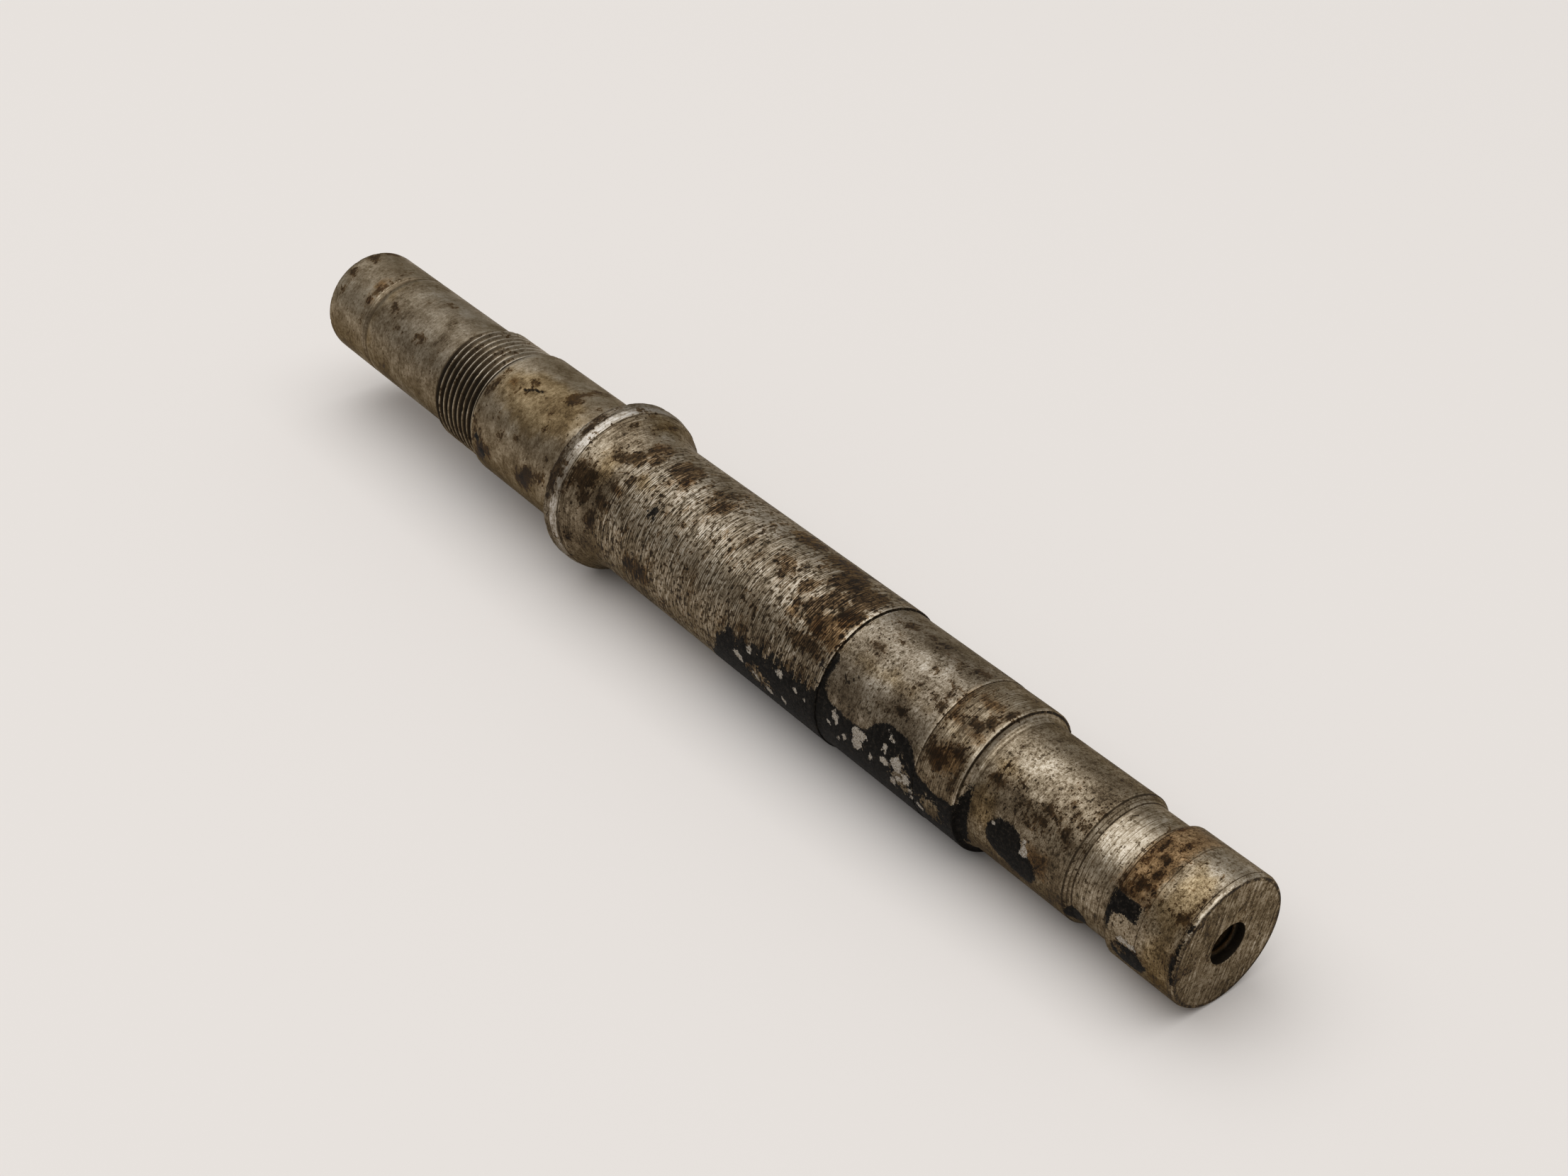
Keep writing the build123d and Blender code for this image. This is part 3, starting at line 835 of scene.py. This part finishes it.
# Each noise's frequency round the shaft as a share of that along it, scale, detail and roughness. Low
# shares give the long streaks that turning leaves.
NOISES = {
    "broad": (1.0, 0.16, 3.0, 0.6), "blotch": (1.0, 0.42, 4.0, 0.6), "jagged": (1.0, 1.5, 5.0, 0.7),
    "crumbs": (1.0, 5.0, 2.0, 0.6), "patchy": (0.45, 0.55, 5.0, 0.62), "dots": (0.7, 1.9, 2.5, 0.6),
    "grit": (0.85, 2.0, 3.0, 0.7), "grains": (0.3, 5.0, 3.0, 0.65), "teeth": (0.22, 0.9, 3.0, 0.6),
    "streaks": (0.16, 2.3, 3.0, 0.65), "lines": (0.05, 5.0, 2.0, 0.75), "sway": (0.05, 0.6, 2.0, 0.5),
}


class AgedSteel:
    """Turned and ground steel under years of oil, rust and tar, one method for each layer. Cleanness runs
    from 0, pitted black, to 1, rubbed bright; all that stains or rubs the steel moves it, and so do painted
    light and shade."""

    def __init__(self, g):
        self.g = g
        place = g.node("Attribute", attribute_name="place").outputs["Vector"]
        for name, (share, scale, detail, rough) in NOISES.items():
            setattr(self, name, g.noise(g.stretched(place, 1.0, share, share), scale, detail, rough))
        self.add_places(place)
        self.add_marks()
        self.grime_and_shade = self.grime_and_painted_shade()
        self.cleanness = self.how_clean()

    def total(self, **gains):
        """The sum of some of these values, each times its gain."""
        return self.g.plus(*[self.g.times(getattr(self, name), gain) for name, gain in gains.items()])

    def off(self, **gains):
        """The sum of some noises' departures from their middle, each times its gain."""
        g = self.g
        middle = 0.5
        return g.plus(*[
            g.times(g.math("SUBTRACT", getattr(self, name), middle), gain) for name, gain in gains.items()
        ])

    def add_places(self, place):
        """Station and radius, the near face with its brushing, and where the skin is turned or ground."""
        g = self.g
        self.station = g.node("SeparateXYZ", {0: place}).outputs["X"]
        across = g.stretched(place, 0.0, 1.0, 1.0)
        self.radius = g.node("VectorMath", {0: across}, operation="LENGTH").outputs["Value"]
        lean = {"Vector": place, "Angle": math.radians(BRUSHING_LEAN)}
        leaning = g.node("VectorRotate", lean, rotation_type="X_AXIS").outputs["Vector"]
        self.brush = g.noise(g.stretched(leaning, 1.0, 1.0, 0.07), 2.8, 2.0, 0.6)
        self.flat_face = g.span(self.station, NEAR_END - 0.12, NEAR_END - 0.04)
        self.speckle = g.field("speckle")
        self.turned = g.field("turned")
        self.grey = g.field("grey")
        self.ground = g.rest(self.turned)
        self.rough_skin = g.times(self.ground, g.plus(self.speckle, 0.06))
        phase = self.total(station=2 * math.pi / TURNING_PITCH, sway=14.0)
        self.wave = g.times(g.math("SINE", phase), self.turned)

    def add_marks(self):
        """The listed marks with ragged edges, and black specks and pits, denser here and there."""
        g = self.g
        gritty = g.times(self.off(grit=5.0), self.rough_skin)
        drawn_out = g.times(self.off(grains=1.8, lines=0.9), self.turned)
        depth = g.plus(g.field("stain"), self.off(patchy=4.0, dots=2.2, jagged=2.8), gritty, drawn_out)
        self.stain = g.plus(g.span(depth, -0.7, 0.9, 0.0, 0.4), g.span(depth, 0.0, 0.3, 0.0, 0.6))
        self.rust = g.span(g.plus(g.field("rust"), self.off(jagged=2.6, grains=1.2)), -0.5, 0.9)
        self.yellow = g.span(g.plus(g.field("yellow"), self.off(patchy=4.0)), -0.6, 2.0)
        self.pale = g.span(g.plus(g.field("pale"), self.off(patchy=3.5, jagged=1.5)), -0.6, 1.2)
        # Rubbed wear, partly painted highlight on the near face's rim, the collar's bevel and the thread's
        # crests
        self.rub = g.times(
            g.largest(g.field("rub"), 0.0), g.span(self.patchy, 0.34, 0.54, 0.55, 1.0),
            g.span(self.jagged, 0.5, 0.62, 1.0, 0.15), g.rest(g.times(self.stain, 0.9)),
        )
        dense = g.plus(g.times(self.speckle, self.turned, 0.1), self.total(speckle=0.05, flat_face=-0.06))
        self.spots = g.span(g.plus(self.dots, dense, self.off(broad=0.24)), 0.69, 0.745)
        pitted = g.span(g.plus(self.grit, self.off(patchy=0.4)), 0.535, 0.6)
        self.pits = g.times(pitted, self.rough_skin)

    def grime_and_painted_shade(self):
        """Grime in corners, in the margin of the near face and in fine rings; painted shade in the thread's
        roots and in the tapped centre, spared where its painted glints lie; all broken up.
        """
        g = self.g
        # Painted glints: grit deep in the tapped centre is spared the painted shade
        glinting = g.times(g.span(self.radius, 2.8, 2.95, 1.0, 0.0), g.span(self.grit, 0.53, 0.6, 0.0, 0.6))
        grime_and_shade = g.times(g.field("grime_and_shade"), g.span(self.jagged, 0.25, 0.5, 0.8, 1.0), g.rest(glinting))
        margin = g.times(self.flat_face, g.span(self.radius, 9.15, 9.5, 0.0, 0.8))
        grime_and_shade = g.largest(grime_and_shade, g.times(margin, g.span(self.jagged, 0.4, 0.55)))
        broken = g.span(self.jagged, 0.32, 0.55, 0.15, 1.0)
        for station, half_width, strength in RINGS:
            gap = g.math("ABSOLUTE", g.math("SUBTRACT", self.station, station))
            ring = g.span(gap, half_width * 0.6, half_width * 1.6, strength, 0.0)
            grime_and_shade = g.largest(grime_and_shade, g.times(ring, broken))
        return grime_and_shade

    def how_clean(self):
        """Plain steel's cleanness, moved by every noise, field and mark."""
        g = self.g
        self.line_gain = g.plus(g.times(self.turned, 0.84), 0.06)
        self.grain_gain = g.plus(g.times(self.turned, 0.4), 0.07)
        patch_gain = g.plus(g.times(self.turned, 0.28), 0.1)
        # Painted light reaches the cleanness through the fair field and the rubbing, painted shade through
        # the grime below
        clean = g.plus(
            CLEAN, g.field("fair_and_painted_light"), self.off(broad=0.44, jagged=0.42, patchy=patch_gain),
            self.off(grains=self.grain_gain, lines=self.line_gain),
            g.times(self.off(grit=1.15), self.rough_skin), g.times(self.off(blotch=0.3), self.ground),
            g.times(self.off(streaks=0.6), self.turned),
            g.times(g.plus(self.off(brush=0.62), 0.03), self.flat_face), self.total(wave=0.055, grey=0.05),
            self.total(stain=-0.24, rust=-0.1, yellow=-0.05, pale=0.09, rub=0.26, spots=-0.18, pits=-0.21),
        )
        gouge = g.span(g.field("gouge"), 0.15, 0.6)
        scratch = g.span(g.plus(g.field("scratch"), self.off(crumbs=0.8)), 0.35, 0.6, 0.0, 0.9)
        # Grime, painted shade, the gouge and the scratch all take the steel down to one dark cleanness
        return g.blend(g.largest(self.grime_and_shade, gouge, scratch), clean, GRIME_AND_SHADE_CLEANNESS)

    def metal(self):
        """The bare steel's colour."""
        g = self.g
        metal = g.ramp(self.cleanness, STEEL_TONES)
        metal = g.tint(g.times(self.grey, 0.75), metal, GREYING)
        metal = g.tint(self.yellow, metal, YELLOWING)
        metal = g.tint(g.times(self.rust, 0.8), metal, RUSTING)
        return g.tint(self.stain, metal, BROWNING)

    def tar(self):
        """Where tar covers the steel, dripping along the turned lines, and its black and dusty colours."""
        g = self.g
        drips = g.times(self.off(grains=2.5, teeth=7.0, jagged=6.0), g.span(self.turned, 0.6, 1.0))
        depth = g.plus(g.field("tar"), self.off(jagged=1.3, crumbs=0.7), drips)
        scrape = g.span(g.plus(g.field("scrape"), self.off(jagged=8.0), -1.2), -0.1, 0.15, 0.0, 0.9)
        cover = g.times(g.span(depth, -0.05, 0.09), g.rest(scrape))
        worn = g.times(g.span(self.crumbs, 0.53, 0.66), g.span(self.jagged, 0.49, 0.63, 0.0, 0.75))
        tone = g.mix(g.span(self.jagged, 0.46, 0.66), TAR_BLACK, TAR_DUSTY)
        return cover, g.mix(worn, tone, TAR_WORN)

    def flakes(self):
        """Where chalky flakes lie, and their colour."""
        g = self.g
        cover = g.span(g.plus(g.field("flake"), self.off(jagged=1.8)), 0.0, 0.1)
        return cover, g.mix(g.span(self.crumbs, 0.38, 0.58), CHALK_BROWN, CHALK)

    def bump(self, tar, flake):
        """Relief in millimetres: turned lines, pits, brushing and the edge of the tar."""
        g = self.g
        height = g.plus(
            g.times(self.off(lines=self.line_gain, grains=self.grain_gain), 0.03), self.off(patchy=0.02),
            self.total(wave=0.003, spots=-0.018, stain=-0.008, pits=-0.012),
            g.times(self.off(grit=0.04), self.rough_skin), g.times(self.off(brush=0.02), self.flat_face),
            g.times(tar, 0.05), g.times(self.off(crumbs=0.05), tar), g.times(flake, -0.03),
        )
        return g.node("Bump", {"Strength": 1.0, "Distance": MM, "Height": height}).outputs["Normal"]

    def shader(self):
        """All layers: steel, then tar, then flakes."""
        g = self.g
        tar, tar_tone = self.tar()
        flake, flake_tone = self.flakes()
        cover = g.largest(tar, flake)
        bare = g.times(g.span(self.cleanness, 0.28, 0.55, 0.35, 0.97), g.rest(cover))
        roughness = g.span(self.cleanness, 0.3, 0.75, 0.55, 0.34)
        roughness = g.blend(tar, roughness, g.span(self.crumbs, 0.3, 0.7, 0.55, 0.8))
        surface = g.mix(tar, self.metal(), tar_tone)
        return g.node("BsdfPrincipled", {
            "Base Color": g.mix(g.times(flake, 0.95), surface, flake_tone),
            "Metallic": g.times(bare, g.rest(g.times(self.rust, 0.35))),
            "Roughness": g.blend(flake, roughness, 0.6),
            "Specular IOR Level": g.blend(cover, 0.15, 0.1),
            "Specular Tint": EDGE_TINT,
            "Normal": self.bump(tar, flake),
            "Anisotropic": 0.3,
            "Tangent": g.node("Tangent", direction_type="UV_MAP", uv_map="grain").outputs["Tangent"],
        })


def steel_material():
    """The finish of the whole shaft."""
    g = Graph("aged_steel")
    return g.surfaced(AgedSteel(g).shader())


# ------ the shaft, in its place

def shaft_placing():
    """From the shaft's own coordinates to the frame: its axis, with the top as upright as it goes."""
    sideways = Vector((0, 0, 1)).cross(AXIS).normalized()
    upright = AXIS.cross(sideways)
    return Matrix.Translation(AXIS_START) @ Matrix((AXIS, sideways, upright)).transposed().to_4x4()


def placed(name, data):
    """A new object in the scene."""
    made = bpy.data.objects.new(name, data)
    bpy.context.scene.collection.objects.link(made)
    return made


shaft = placed("shaft_body", shaft_mesh("shaft_body", shaft_placing()))
shaft.data.materials.append(steel_material())
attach(shaft, "root")
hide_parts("shaft")


# ------ floor, lamp and camera

FLOOR_REACH = 3.0
PAPER = colour(0.8, 0.762, 0.73)
LAMP_PLACE, LAMP_AIM = (-0.3, -0.35, 2.4), (-0.3, -0.35, 0.0)
LAMP_SIZE = (4.6, 4.3)
LAMP_POWER = 76.5
ROOM_TONE, ROOM_STRENGTH = colour(0.86, 0.85, 0.84), 0.44
CAMERA_PLACE = Vector((228.35, -167.17, 195.38)) * MM
CAMERA_AIM = Vector((11.44, 4.57, 12.0)) * MM
CAMERA_LENS = 49.15


def facing(place, aim):
    """The turn of a lamp or camera at place that looks at aim."""
    return (Vector(aim) - Vector(place)).to_track_quat("-Z", "Y").to_euler()


def floor_material():
    """Matt white paper."""
    g = Graph("paper")
    inputs = {"Base Color": PAPER, "Roughness": 0.9, "Specular IOR Level": 0.1}
    return g.surfaced(g.node("BsdfPrincipled", inputs))


def plain_floor():
    """A sheet under the shaft that reaches past the camera's view."""
    mesh = bpy.data.meshes.new("floor")
    corners = [(-1, -1), (1, -1), (1, 1), (-1, 1)]
    mesh.from_pydata([(x * FLOOR_REACH, y * FLOOR_REACH, 0) for x, y in corners], [], [(0, 1, 2, 3)])
    mesh.materials.append(floor_material())
    floor = placed("floor", mesh)


def ceiling_lamp():
    """One lamp nearly as large as a ceiling, for soft shadows."""
    light = bpy.data.lights.new("ceiling_lamp", "AREA")
    light.shape = "RECTANGLE"
    light.size, light.size_y = LAMP_SIZE
    light.energy = LAMP_POWER
    lamp = placed("ceiling_lamp", light)
    lamp.location = LAMP_PLACE
    lamp.rotation_euler = facing(LAMP_PLACE, LAMP_AIM)


def room():
    """Even light from all round."""
    world = bpy.data.worlds.new("room")
    world.use_nodes = True
    inputs = world.node_tree.nodes["Background"].inputs
    inputs["Color"].default_value = ROOM_TONE
    inputs["Strength"].default_value = ROOM_STRENGTH
    bpy.context.scene.world = world


def camera():
    """The photograph's viewing angle: down at the shaft from beyond its tapped end."""
    data = bpy.data.cameras.new("camera")
    data.sensor_width = 36.0
    data.lens = CAMERA_LENS
    data.clip_start = 0.01
    made = placed("camera", data)
    made.location = CAMERA_PLACE
    made.rotation_euler = facing(CAMERA_PLACE, CAMERA_AIM)
    bpy.context.scene.camera = made


plain_floor()
ceiling_lamp()
room()
camera()
bpy.context.scene.view_settings.view_transform = "Standard"
